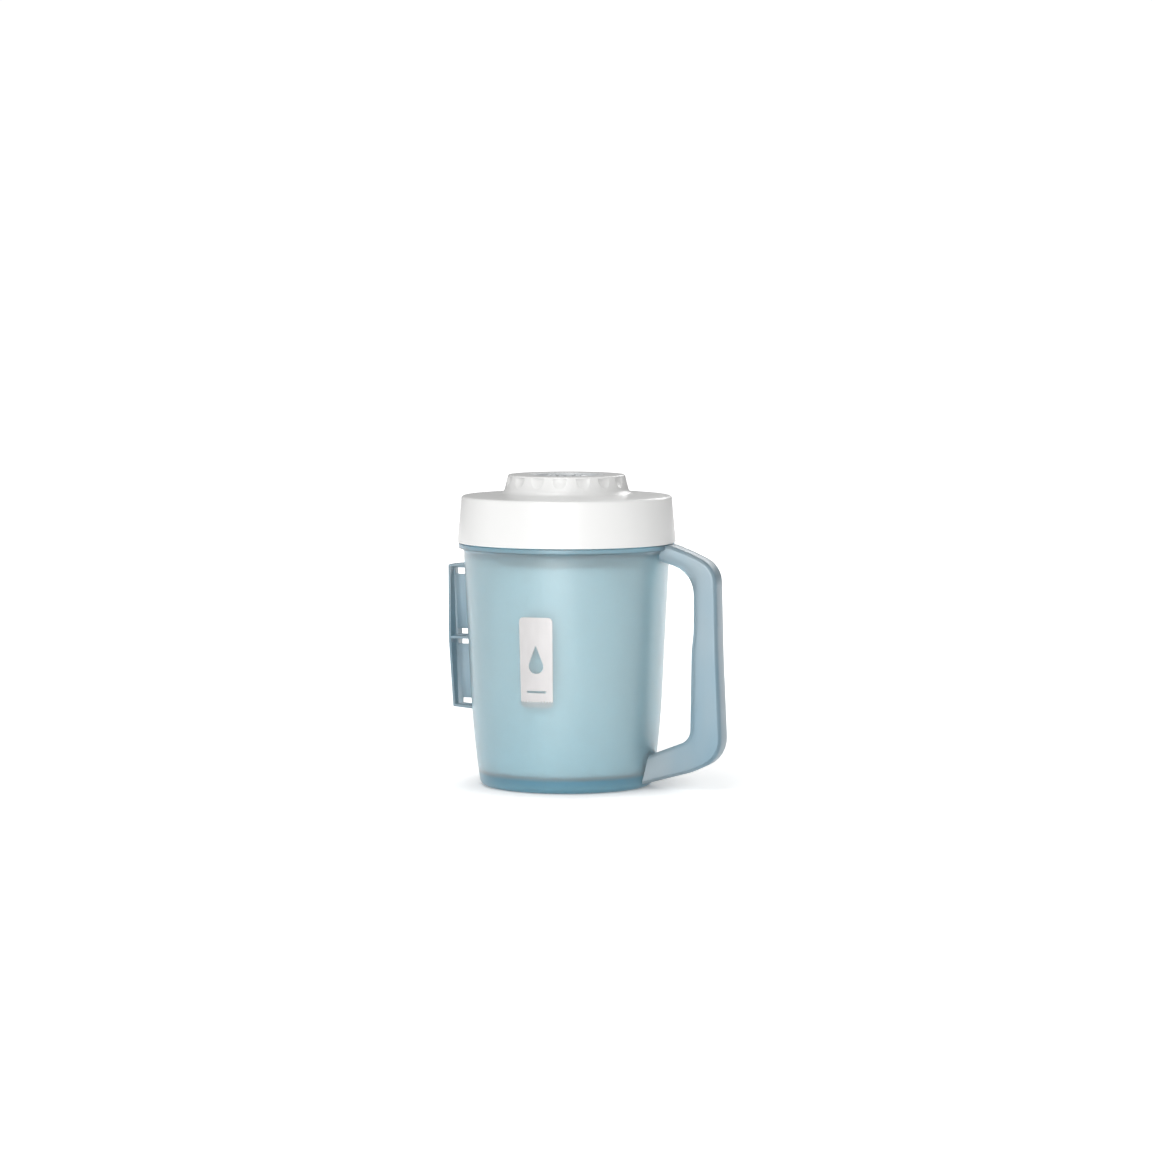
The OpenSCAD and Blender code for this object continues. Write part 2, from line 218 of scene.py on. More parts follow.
def combine(piece, other, operation="UNION"):
    """Joins another solid to the piece, cuts it away, or keeps what the two share."""
    modify(piece, "BOOLEAN", object=other, operation=operation, solver="EXACT")
    only(other)
    bpy.ops.object.delete()
    only(piece)
    bpy.ops.object.mode_set(mode="EDIT")
    bpy.ops.mesh.select_all(action="SELECT")
    bpy.ops.mesh.remove_doubles(threshold=WELD)
    bpy.ops.mesh.dissolve_degenerate(threshold=WELD)
    bpy.ops.object.mode_set(mode="OBJECT")
    return piece


def soften(piece, width, angle=35):
    """Rounds the edges that are sharper than the angle, by the width in millimetres."""
    modify(piece, "BEVEL", width=width * MM, segments=2, limit_method="ANGLE",
           angle_limit=radians(angle), miter_outer="MITER_ARC", use_clamp_overlap=True)


def dress(piece, body, slot, material, *nodes):
    """Gives a finished piece its shading, material and body, and hides the nodes it stands for; the
    slot is not used.
    """
    only(piece)
    bpy.ops.object.shade_smooth_by_angle(angle=SMOOTH_ANGLE)
    piece.data.materials.clear()
    piece.data.materials.append(material)
    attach(piece, body)
    if nodes:
        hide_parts(*nodes)


# --- Materials ---

def linear(code):
    """A six-digit sRGB hex colour as linear red, green, blue and alpha."""
    parts = [int(code.lstrip("#")[i:i + 2], 16) / 255 for i in (0, 2, 4)]
    return (*[p / 12.92 if p <= 0.04045 else ((p + 0.055) / 1.055) ** 2.4 for p in parts], 1.0)


def add(tree, kind, inputs=None, **settings):
    """Adds a node with its settings, and sets or links its inputs."""
    made = tree.nodes.new(kind)
    for key, value in settings.items():
        setattr(made, key, value)
    for key, value in (inputs or {}).items():
        if isinstance(value, bpy.types.NodeSocket):
            tree.links.new(value, made.inputs[key])
        else:
            made.inputs[key].default_value = value
    return made


def blank_material(name):
    """A new material, and its node tree with nothing in it."""
    material = bpy.data.materials.new(name)
    material.use_nodes = True
    material.node_tree.nodes.clear()
    return material, material.node_tree


def plastic(name, dark, light, grain_mm, flow_mm, bump_mm, rough, shader, absorb=None, foot=None):
    """A moulded plastic: two close colours in its flow marks, and the fine grain of its mould.

    The flow marks run upwards, the way the mould fills. A mould's grain is about 0.1 mm wide,
    too fine to show, so grain_mm draws it at least six times as coarse.
    """
    if name in bpy.data.materials:
        return bpy.data.materials[name]
    material, tree = blank_material(name)
    place = add(tree, "ShaderNodeTexCoord").outputs["Object"]
    upwards = add(tree, "ShaderNodeMapping", {"Vector": place, "Scale": (1, 1, 0.3)})
    flow = add(tree, "ShaderNodeTexNoise", {
        "Vector": upwards.outputs["Vector"], "Scale": 1 / (flow_mm * MM), "Detail": 1.0,
        "Roughness": 0.4})
    grain = add(tree, "ShaderNodeTexNoise", {
        "Vector": place, "Scale": 1 / (grain_mm * MM), "Detail": 1.0, "Roughness": 0.5})
    colour = add(tree, "ShaderNodeMix", {
        "Factor": flow.outputs["Fac"], "A": linear(dark), "B": linear(light)}, data_type="RGBA")
    # Painted shade: below the floor the colour turns to the foot's deeper tint, which stands in for
    # the shade in the hollow foot.
    if foot:
        height = add(tree, "ShaderNodeSeparateXYZ", {"Vector": place}).outputs["Z"]
        low = add(tree, "ShaderNodeMapRange", {
            "Value": height, "From Min": (FLOOR_Z - FOOT_SHADE_FADE) * MM, "From Max": FLOOR_Z * MM,
            "To Min": 1.0, "To Max": 0.0})
        colour = add(tree, "ShaderNodeMix", {
            "Factor": low.outputs["Result"], "A": colour.outputs["Result"], "B": linear(foot)},
            data_type="RGBA")
    gloss = add(tree, "ShaderNodeMapRange", {
        "Value": flow.outputs["Fac"], "To Min": rough[0], "To Max": rough[1]})
    bump = add(tree, "ShaderNodeBump", {
        "Height": grain.outputs["Fac"], "Strength": 1.0, "Distance": bump_mm * MM})
    body = add(tree, "ShaderNodeBsdfPrincipled", {
        "Base Color": colour.outputs["Result"], "Roughness": gloss.outputs["Result"],
        "Normal": bump.outputs["Normal"], **shader})
    out = add(tree, "ShaderNodeOutputMaterial", {"Surface": body.outputs["BSDF"]})
    if absorb:
        inner = add(tree, "ShaderNodeVolumeAbsorption", {
            "Color": linear(absorb[0]), "Density": absorb[1]})
        tree.links.new(inner.outputs["Volume"], out.inputs["Volume"])
    return material


def frosted_polypropylene():
    # Clarified polypropylene tinted aqua, from a spark-eroded mould: it lets light through,
    # scatters it, and turns deeper in colour where an edge or a corner is seen end on.
    look = bpy.context.scene.dispenser_finish
    return plastic(
        "frosted_polypropylene", look.bucket_dark, look.bucket_light,
        grain_mm=0.9, flow_mm=60, bump_mm=0.012, rough=(0.29, 0.31),
        shader={"IOR": 1.49, "Transmission Weight": 0.88, "Coat Weight": 0.6,
                "Coat Roughness": 0.4},
        # The foot colour is painted shade of the hollow foot, not a tint of the plastic.
        absorb=(look.bucket_depth, look.depth_density), foot=look.bucket_foot_shade)


def milky_polypropylene():
    # The same plastic, less clear, in the handle and the hanger rail: more of the light is
    # scattered back, so they look milky and a little darker than the wall.
    look = bpy.context.scene.dispenser_finish
    return plastic(
        "milky_polypropylene", look.handle_dark, look.handle_light,
        grain_mm=0.9, flow_mm=35, bump_mm=0.012, rough=(0.30, 0.36),
        shader={"IOR": 1.49, "Transmission Weight": 0.55})


def glossy_polypropylene():
    # White filled polypropylene from a polished mould: opaque, with a soft clean gloss.
    look = bpy.context.scene.dispenser_finish
    return plastic(
        "glossy_white_polypropylene", look.lid_dark, look.lid_light,
        grain_mm=3.0, flow_mm=45, bump_mm=0.01, rough=(0.29, 0.33),
        shader={"IOR": 1.49, "Coat Weight": 0.2, "Coat Roughness": 0.2})


def pale_acetal():
    # Pale grey acetal: a slippery, satin moulding plastic that snap fingers are made of.
    look = bpy.context.scene.dispenser_finish
    return plastic(
        "satin_pale_acetal", look.nozzle_dark, look.nozzle_light,
        grain_mm=1.2, flow_mm=20, bump_mm=0.01, rough=(0.30, 0.36), shader={"IOR": 1.48})


def tear_elastomer():
    # Thermoplastic elastomer, dark grey and matt, soft enough to grip the wipe.
    return plastic(
        "matt_thermoplastic_elastomer", "#3A4145", "#4A5257",
        grain_mm=0.6, flow_mm=12, bump_mm=0.02, rough=(0.55, 0.68), shader={"IOR": 1.5})


def seal_rubber():
    # EPDM rubber, moulded and matt, with a faint bloom.
    return plastic(
        "epdm_seal_rubber", "#24282B", "#32373A",
        grain_mm=0.8, flow_mm=18, bump_mm=0.02, rough=(0.6, 0.75), shader={"IOR": 1.52})


def silver_print():
    # Tampon-printed ink with aluminium flakes: it reads pale silver, and is faintly grainy.
    look = bpy.context.scene.dispenser_finish
    return plastic(
        "silver_tampon_ink", look.print_dark, look.print_light,
        grain_mm=0.8, flow_mm=8, bump_mm=0.01, rough=(0.38, 0.46),
        shader={"IOR": 1.5, "Metallic": 0.35})


def nonwoven():
    # Spunlace nonwoven: matt, soft white, with fine wrinkles where its layers are wound. The
    # layers are about 0.4 mm thick and the fibres 0.01 mm, too fine to show, so both are coarser.
    layer_mm, fibre_mm = 2.7635, 1.1
    material, tree = blank_material("spunlace_nonwoven")
    place = add(tree, "ShaderNodeTexCoord").outputs["Object"]
    rings = add(tree, "ShaderNodeTexWave", {
        "Vector": place, "Scale": WAVE_PERIOD / (layer_mm * MM), "Distortion": 1.2,
        "Detail": 2.0, "Detail Scale": 1.5}, wave_type="RINGS", rings_direction="Z")
    fibre = add(tree, "ShaderNodeTexNoise", {
        "Vector": place, "Scale": 1 / (fibre_mm * MM), "Detail": 3.0})
    height = add(tree, "ShaderNodeMix", {
        "Factor": 0.5, "A": rings.outputs["Fac"], "B": fibre.outputs["Fac"]}, data_type="FLOAT")
    colour = add(tree, "ShaderNodeMix", {
        "Factor": fibre.outputs["Fac"], "A": linear("#EEF0F0"), "B": linear("#FBFBFA")},
        data_type="RGBA")
    bump = add(tree, "ShaderNodeBump", {
        "Height": height.outputs["Result"], "Strength": 0.7, "Distance": 0.25 * MM})
    body = add(tree, "ShaderNodeBsdfPrincipled", {
        "Base Color": colour.outputs["Result"], "Roughness": 0.9, "Specular IOR Level": 0.2,
        "Sheen Weight": 0.25, "Sheen Roughness": 0.5, "Normal": bump.outputs["Normal"]})
    add(tree, "ShaderNodeOutputMaterial", {"Surface": body.outputs["BSDF"]})
    return material


def studio_white():
    # Matt white laminate with light coming through it, and a haze half a metre wide: bright and
    # even, with a painted contact shadow beneath the bucket where the glow drops to under half, and
    # brighter far off, where it meets the white.
    under, beside, near_by, far_off = 0.09, 0.16, 0.2, 2.5      # metres from the axis
    shade, lift, haze_m = 0.45, 0.6, 0.5
    strength = bpy.context.scene.dispenser_finish.floor_glow
    material, tree = blank_material("white_laminate_floor")
    place = add(tree, "ShaderNodeTexCoord").outputs["Object"]
    haze = add(tree, "ShaderNodeTexNoise", {"Vector": place, "Scale": 1 / haze_m, "Detail": 1.0})
    colour = add(tree, "ShaderNodeMix", {
        "Factor": haze.outputs["Fac"], "A": linear("#EDEDED"), "B": linear("#F2F2F2")},
        data_type="RGBA")
    away = add(tree, "ShaderNodeVectorMath", {0: place}, operation="LENGTH").outputs["Value"]
    # Painted shadow: the glow drops to shade times its strength beneath the bucket, a contact
    # shadow laid on the floor.
    near = add(tree, "ShaderNodeMapRange", {
        "Value": away, "From Min": under, "From Max": beside,
        "To Min": shade * strength, "To Max": strength}, interpolation_type="SMOOTHSTEP")
    far = add(tree, "ShaderNodeMapRange", {
        "Value": away, "From Min": near_by, "From Max": far_off, "To Min": 0.0, "To Max": lift})
    glow = add(tree, "ShaderNodeMath", {
        0: near.outputs["Result"], 1: far.outputs["Result"]}, operation="ADD")
    body = add(tree, "ShaderNodeBsdfPrincipled", {
        "Base Color": colour.outputs["Result"], "Roughness": 0.6, "Specular IOR Level": 0.1,
        "Emission Color": (1, 1, 1, 1), "Emission Strength": glow.outputs["Value"]})
    add(tree, "ShaderNodeOutputMaterial", {"Surface": body.outputs["BSDF"]})
    return material


# --- What the user may change ---

class DispenserSizes(bpy.types.PropertyGroup):
    """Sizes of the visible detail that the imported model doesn't hold."""

    handle_edge: bpy.props.FloatProperty(
        name="Handle edge radius", description="Rounding of the handle's long edges",
        default=0.0048, min=0.001, max=0.007, unit="LENGTH")
    cover_wall: bpy.props.FloatProperty(
        name="Cover wall", description="Thickness of the cover along the handle's spine",
        default=0.003, min=0.001, max=0.004, unit="LENGTH")
    rail_edge: bpy.props.FloatProperty(
        name="Rail edge radius", description="Rounding of the hanger rail's edges",
        default=0.0005, min=0.0001, max=0.001, unit="LENGTH")
    scallop_edge: bpy.props.FloatProperty(
        name="Scallop edge radius", description="Rounding of the ridges between the hub's scallops",
        default=0.0004, min=0.0001, max=0.001, unit="LENGTH")
    label_width: bpy.props.FloatProperty(
        name="Label width", description="Width of the printed label, along the wall",
        default=0.038, min=0.01, max=0.08, unit="LENGTH")
    label_height: bpy.props.FloatProperty(
        name="Label height", description="Height of the printed label",
        default=0.100, min=0.02, max=0.15, unit="LENGTH")
    label_middle: bpy.props.FloatProperty(
        name="Label middle", description="Height of the label's middle above the floor",
        default=0.1475, min=0.06, max=0.2, unit="LENGTH")


class DispenserFinish(bpy.types.PropertyGroup):
    """Colours of the plastics, as sRGB hex codes, and the strengths of the studio."""

    bucket_dark: bpy.props.StringProperty(
        name="Bucket, darker", description="Darker tint in the frosted plastic",
        default="#E1EFF3")
    bucket_light: bpy.props.StringProperty(
        name="Bucket, lighter", description="Lighter tint in the frosted plastic",
        default="#E8F4F7")
    bucket_depth: bpy.props.StringProperty(
        name="Bucket, in depth", description="Colour that thick frosted plastic turns to",
        default="#86E8F8")
    # Painted shade: the foot's deeper tint stands in for the shade in the hollow under the bucket's
    # floor.
    bucket_foot_shade: bpy.props.StringProperty(
        name="Bucket, foot", description="Deeper tint of the foot below the floor",
        default="#A2DCED")
    handle_dark: bpy.props.StringProperty(
        name="Handle, darker", description="Darker tint in the handle and the rail",
        default="#7FA9BD")
    handle_light: bpy.props.StringProperty(
        name="Handle, lighter", description="Lighter tint in the handle and the rail",
        default="#B4BEC2")
    depth_density: bpy.props.FloatProperty(
        name="Depth density", default=100.0, min=0.0, max=500.0,
        description="How fast the frosted plastic turns to its colour in depth, per metre")
    lid_dark: bpy.props.StringProperty(
        name="Lid, darker", description="Darker white in the lid", default="#D2D2D1")
    lid_light: bpy.props.StringProperty(
        name="Lid, lighter", description="Lighter white in the lid", default="#DADAD9")
    nozzle_dark: bpy.props.StringProperty(
        name="Nozzle, darker", description="Darker grey in the nozzle", default="#C9CCCE")
    nozzle_light: bpy.props.StringProperty(
        name="Nozzle, lighter", description="Lighter grey in the nozzle", default="#D2D5D6")
    print_dark: bpy.props.StringProperty(
        name="Label, darker", description="Darker grey in the silver print", default="#B8B6B6")
    print_light: bpy.props.StringProperty(
        name="Label, lighter", description="Lighter grey in the silver print", default="#C5C3C3")
    floor_glow: bpy.props.FloatProperty(
        name="Floor glow", description="Light that comes through the floor",
        default=0.45, min=0.0, max=2.0)
    sky: bpy.props.FloatProperty(
        name="Surround", description="Brightness of the studio around the object",
        default=0.30, min=0.0, max=2.0)


# --- Sizes shared by several pieces, in millimetres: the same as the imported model's ---

WALL_R = 115.5              # the wall's outer radius at its top
WALL_Z = 258
WALL_DRAFT = 0.05           # how much narrower the wall gets, downwards
BOW_Z = 120                 # below this height the wall curves inwards too
BOW_CORNER_Z = 64
BOW_R = 1100
FLOOR_Z = 17.5              # the top of the bucket's floor
FOOT_R = 8
# The foot's deeper tint is painted shade of the hollow under the floor.
FOOT_SHADE_FADE = 4               # how far down the deeper tint of the foot comes in
FLANGE_R = 121.5
FLANGE_LOW = 268
FLANGE_Z = 273.2
NECK_R = 113.4
NECK_BORE = 111.2
NECK_Z = 319.0
LUGS = 4
LUG_SWEEP = 20              # degrees
LUG_Z = 296.0
LUG_ROOT, LUG_TIP = 112.4, 117.2
STOP_LOW, STOP_HIGH = 287, 301
HUB_R = 65.6
HUB_Z = 350.0
HUB_DRAFT = radians(14)
CUP_Z = 338.0
RAIL_T = 2.5
RAIL_LOW, RAIL_HIGH, RAIL_MIDDLE = 86, 245, 164
RAIL_LEAN = radians(1.96)   # of the rail's flange, outwards as it rises
RAIL_STEPS = 12
RAIL_HEIGHTS = [RAIL_LOW + (RAIL_HIGH - RAIL_LOW) * i / RAIL_STEPS for i in range(RAIL_STEPS + 1)]
RAIL_RIBS = (               # height, width, and the degrees that it drops towards the flange
    (RAIL_HIGH, 25, 6), (RAIL_MIDDLE, 37, 0), (RAIL_LOW, 25, -5))
RAIL_WINDOWS = (            # low, high, and how far out from the axis
    (87.5, 94.0, 123.8), (155.5, 161.5, 129.4), (166.5, 173.0, 129.4), (235.0, 242.0, 132.6))
SINK = 1                    # how far a shape starts inside the one that it joins
FIT = 0.05                  # the gap between pieces that touch


def wall_r(z):
    """Outer radius of the bucket's wall at a height."""
    curve = (BOW_Z - z) ** 2 / (2 * BOW_R) if z < BOW_Z else 0
    return WALL_R - WALL_DRAFT * (WALL_Z - z) - curve


def bow(inset):
    """The vertex that gives the lower wall its curve."""
    return (wall_r(BOW_Z) - WALL_DRAFT * (BOW_Z - BOW_CORNER_Z) - inset, BOW_CORNER_Z, BOW_R)


def envelope(gap, reach_in=60.0):
    """The wall and its flange, grown by gap and solid in to a radius, to cut pieces to them."""
    foot = wall_r(FOOT_R)
    return turned("wall_cutter", rounded([
        (foot - FOOT_R, -gap, 0), (foot + gap, -gap, FOOT_R + gap), bow(-gap),
        (WALL_R + gap, WALL_Z, 0), (WALL_R + gap, FLANGE_LOW - gap, 6 - gap),
        (FLANGE_R + gap, FLANGE_LOW - gap, 0), (FLANGE_R + gap, FLANGE_Z, 0),
        (reach_in, FLANGE_Z, 0), (reach_in, -gap, 0)]))


def hub_side_r(z):
    """Outer radius of the lid's hub at a height."""
    return HUB_R + (HUB_Z - z) * tan(HUB_DRAFT)


def rail_strip(y, reach, spare=0):
    """The outline, at y, of a strip up the wall behind the rail, longer by spare at each end."""
    ends = {RAIL_LOW: -spare, RAIL_HIGH: spare}
    strip = [(-wall_r(z) + SINK, y, z + ends.get(z, 0)) for z in RAIL_HEIGHTS]
    return strip + [(-wall_r(z) - reach, y, z + ends.get(z, 0)) for z in reversed(RAIL_HEIGHTS)]


# --- Operators, one for each piece or group ---

class DISPENSER_OT_bucket(bpy.types.Operator):
    """Adds the frosted bucket with its neck lugs and the seat of the hanger rail"""

    bl_idname = "dispenser.bucket"
    bl_label = "Bucket"

    def execute(self, context):
        foot, wall = wall_r(FOOT_R), 2
        bucket = turned("bucket_wall", rounded([
            (0, FLOOR_Z, 0), (wall_r(FLOOR_Z) - wall, FLOOR_Z, 2), bow(wall),
            (wall_r(BOW_Z) - wall, BOW_Z, 0), (WALL_R - wall, WALL_Z, 6),
            (NECK_BORE, FLANGE_LOW, 6), (NECK_BORE, NECK_Z, 1), (NECK_R, NECK_Z, 1),
            (NECK_R, FLANGE_Z, 0.6),
            (FLANGE_R, FLANGE_Z, 0.8), (FLANGE_R, FLANGE_LOW, 0.8), (WALL_R, FLANGE_LOW, 6),
            (WALL_R, WALL_Z, 0), bow(0), (foot, 0, FOOT_R), (foot - 11, 0, 0.6),
            (foot - 11, 2, 0.6), (foot - 2.2, 2, 5.8), (wall_r(FLOOR_Z) - 2.2, 15, 1),
            (0, 15, 0)], closed=False), closed=False)
        lug_top = LUG_Z + 5
        lug = turned("neck_lug", [
            (LUG_ROOT, LUG_Z), (LUG_TIP, LUG_Z), (LUG_TIP, lug_top), (LUG_ROOT, lug_top)],
            start=-LUG_SWEEP / 2, sweep=LUG_SWEEP, steps=12)
        stop = turned("neck_stop", [
            (LUG_ROOT, STOP_LOW), (LUG_TIP, STOP_LOW), (LUG_TIP, STOP_HIGH), (LUG_ROOT, STOP_HIGH)],
            start=-12.8, sweep=2.5, steps=2)
        for part in (lug, stop):
            soften(part, 0.4)
            combine(bucket, round_the_axis(part, LUGS))
        for y in (1.3, -2.8):
            combine(bucket, slab("rail_guide", rail_strip(y, 2.2), (0, 1.5, 0)))
        half, reach, ease = RAIL_T / 2, 3.5, 1.5
        for low, high, _ in RAIL_WINDOWS:
            low, high = low + ease, high - ease
            face = [(-wall_r(low) + SINK, -half, low), (-wall_r(low) - reach, -half, low),
                    (-wall_r(high) - reach, -half, high), (-wall_r(high) + SINK, -half, high)]
            combine(bucket, slab("rail_catch", face, (0, RAIL_T, 0)))
        dress(bucket, "root", "bucket_plastic", frosted_polypropylene(), "bucket")
        return {"FINISHED"}


class DISPENSER_OT_rail(bpy.types.Operator):
    """Adds the T-section rail that the bucket hangs by, with its ribs and windows"""

    bl_idname = "dispenser.rail"
    bl_label = "Hanger rail"

    def execute(self, context):
        half = RAIL_T / 2

        def flange_x(z):
            return -(128.9 + (z - RAIL_LOW) * tan(RAIL_LEAN))

        shape = [(-wall_r(z) - FIT, -half, z) for z in RAIL_HEIGHTS]
        shape += [(flange_x(z) - SINK, -half, z) for z in (RAIL_HIGH, RAIL_LOW)]
        web = slab("hanger_rail_frosted", shape, (0, RAIL_T, 0))
        for low, high, out in RAIL_WINDOWS:
            combine(web, block("window", (-out, -5, low), (-100, 5, high)), "DIFFERENCE")
        low, high = RAIL_LOW - half, RAIL_HIGH + half
        shape = rounded([(-12.5, low, 1.5), (12.5, low, 1.5), (19.5, 159, 12), (19.5, 169, 12),
                         (12.5, high, 1.5), (-12.5, high, 1.5), (-19.5, 169, 12), (-19.5, 159, 12)])
        plate = [(flange_x(p.y), p.x, p.y) for p in shape]
        combine(web, slab("rail_flange", plate, (-RAIL_T, 0, 0)))
        for z, width, drop in RAIL_RIBS:
            root = flange_x(z) - SINK
            tip, tip_z = -wall_r(z) - FIT, z + tan(radians(drop)) * (-wall_r(z) - root)
            face = [(x, -width / 2, y) for x, y in (
                (root, z - half), (tip, tip_z - half), (tip, tip_z + half), (root, z + half))]
            combine(web, slab("rail_rib", face, (0, width, 0)))
        combine(web, envelope(FIT), "DIFFERENCE")
        for y in (-2.85, 1.25):
            guide_room = slab("guide_room", rail_strip(y, 2.25, spare=3), (0, 1.6, 0))
            combine(web, guide_room, "DIFFERENCE")
        soften(web, context.scene.dispenser_sizes.rail_edge / MM)
        dress(web, "root", "bucket_plastic", milky_polypropylene(), "hanger_rail")
        return {"FINISHED"}


class DISPENSER_OT_handle(bpy.types.Operator):
    """Adds the D handle: the grip that faces the bucket, and the cover along its spine"""

    bl_idname = "dispenser.handle"
    bl_label = "Handle"

    outer = [(108, FLANGE_Z, 0), (126, FLANGE_Z, 8), (146, 265.8, 60), (178.5, 251, 30),
             (181, 150, 400), (186, 36, 34), (150.5, 19.6, 60), (88, 2.8, 0)]
    inner = [(108, 257.5, 0), (152, 242.8, 33), (152, 176, 90), (149.8, 156, 90),
             (148.4, 55.7, 17), (90, 33, 0)]
    outer_corners = ((178.5, 251), (186, 36))
    inner_corners = ((152, 242.8), (148.4, 55.7))
    steps = (22, 60, 30)        # along the upper arm, the grip and the lower arm
    room = 40                   # how far the cutter reaches past the handle's sides and foot
    split = 0.15                # the gap between grip and cover

    def resampled(self, path, corners):
        """A path in equal steps between its ends and the two places nearest its corners."""
        points = rounded(path, closed=False)
        cuts = [0] + [min(range(len(points)), key=lambda i: (points[i] - Vector(c)).length)
                      for c in corners] + [len(points) - 1]
        made = []
        for low, high, count in zip(cuts, cuts[1:], self.steps):
            made += spaced(points[low:high + 1], count)[1 if made else 0:]
        return made

    def half_width(self, point, outside):
        """Half the handle's width: it flares into the wall, most at the foot of the lower arm."""
        middle_z = 150
        if point.y > middle_z:
            end, root, extra = 150, 112, 3.0
        else:
            end, root, extra = 142, 98, 8.0 if outside else 1.0
        part = min(max((end - point.x) / (end - root), 0), 1.25)
        return 15 + extra * part * part * (1.6 - 0.6 * part)

    def spine(self, depth):
        """A solid that holds all that lies outside the handle's spine, and a depth under it."""
        near, far, low, high = 60, 240, -self.room, 320
        seat = rounded(shifted(self.outer, depth), closed=False)
        edge = [(near, FLANGE_Z - depth), *seat, (near, seat[-1].y - 8), (near, low), (far, low),
                (far, high), (near, high)]
        return slab("spine_cutter", [(p[0], -self.room, p[1]) for p in edge], (0, 2 * self.room, 0))

    def execute(self, context):
        sizes = context.scene.dispenser_sizes
        sides = (self.resampled(self.outer, self.outer_corners),
                 self.resampled(self.inner, self.inner_corners))
        body = trace("handle_body", [(p.x, 0, p.y) for p in sides[0]], closed=False)
        other = trace("handle_side", [(p.x, 0, p.y) for p in sides[1]], closed=False)
        only(body, other)
        bpy.ops.object.join()
        bpy.ops.object.mode_set(mode="EDIT")
        bpy.ops.mesh.select_all(action="SELECT")
        bpy.ops.mesh.bridge_edge_loops()
        bpy.ops.mesh.select_all(action="SELECT")
        bpy.ops.transform.translate(value=(0, -MM, 0))
        bpy.ops.mesh.extrude_region_move(TRANSFORM_OT_translate={"value": (0, 2 * MM, 0)})
        close_up()
        widths = {}
        for side, outside in zip(sides, (True, False)):
            for point in side:
                widths[round(point.x, 2), round(point.y, 2)] = self.half_width(point, outside)
        for vertex in body.data.vertices:
            key = min(widths, key=lambda k: hypot(k[0] - vertex.co.x / MM, k[1] - vertex.co.z / MM))
            vertex.co.y *= widths[key]
        long_edges = []
        for edge in body.data.edges:
            ends = [body.data.vertices[i].co for i in edge.vertices]
            along = any(all(min(hypot(p.x / MM - q.x, p.z / MM - q.y) for q in side) < 0.01
                            for p in ends) for side in sides)
            long_edges.append(along and ends[0].y * ends[1].y > 0)
        only(body)
        bpy.ops.object.mode_set(mode="EDIT")
        bpy.ops.mesh.select_mode(type="EDGE")
        bpy.ops.mesh.select_all(action="DESELECT")
        bpy.ops.object.mode_set(mode="OBJECT")
        for edge, chosen in zip(body.data.edges, long_edges):
            edge.select = chosen
        bpy.ops.object.mode_set(mode="EDIT")
        bpy.ops.mesh.bevel(offset=sizes.handle_edge, segments=5, clamp_overlap=True)
        bpy.ops.mesh.select_mode(type="VERT")
        close_up()
        combine(body, envelope(FIT, reach_in=40), "DIFFERENCE")
        only(body)
        bpy.ops.object.duplicate()
        cover = bpy.context.object
        cover.name = cover.data.name = "handle_cover_frosted"
        body.name = body.data.name = "handle_grip_frosted"
        combine(cover, self.spine(sizes.cover_wall / MM), "INTERSECT")
        combine(body, self.spine(sizes.cover_wall / MM + self.split), "DIFFERENCE")
        dress(body, "root", "handle_plastic", milky_polypropylene(), "handle_grip")
        dress(cover, "root", "handle_plastic", milky_polypropylene(), "handle_cover")
        return {"FINISHED"}


class DISPENSER_OT_roll(bpy.types.Operator):
    """Adds the centre-feed roll of wipes, with its wound layers on top"""

    bl_idname = "dispenser.roll"
    bl_label = "Wipe roll"

    def execute(self, context):
        core, low, high = 27.5, FLOOR_Z, FLOOR_Z + 235
        layers, count, waves = [], 42, 24
        for i in range(count):
            r = 30 + 62 * i / (count - 1)
            rise = 0.35 * sin(i * 2.4) + 0.25 * sin(i * 0.7)
            layers += [(r, high - 1.2 + rise), (r + 0.5, high - 1.7 + rise)]
        side = [(94.6 + 0.25 * sin(k * 1.9), low + 1 + k * (high - low - 4) / waves)
                for k in range(waves + 1)]
        roll = turned("wipe_roll_wound", [
            (core, low), (94.2, low), *side, (93.4, high - 1.2), *reversed(layers),
            (core, high - 2)], steps=128)
        dress(roll, "root", "wipe_web", nonwoven(), "wipe_roll")
        return {"FINISHED"}


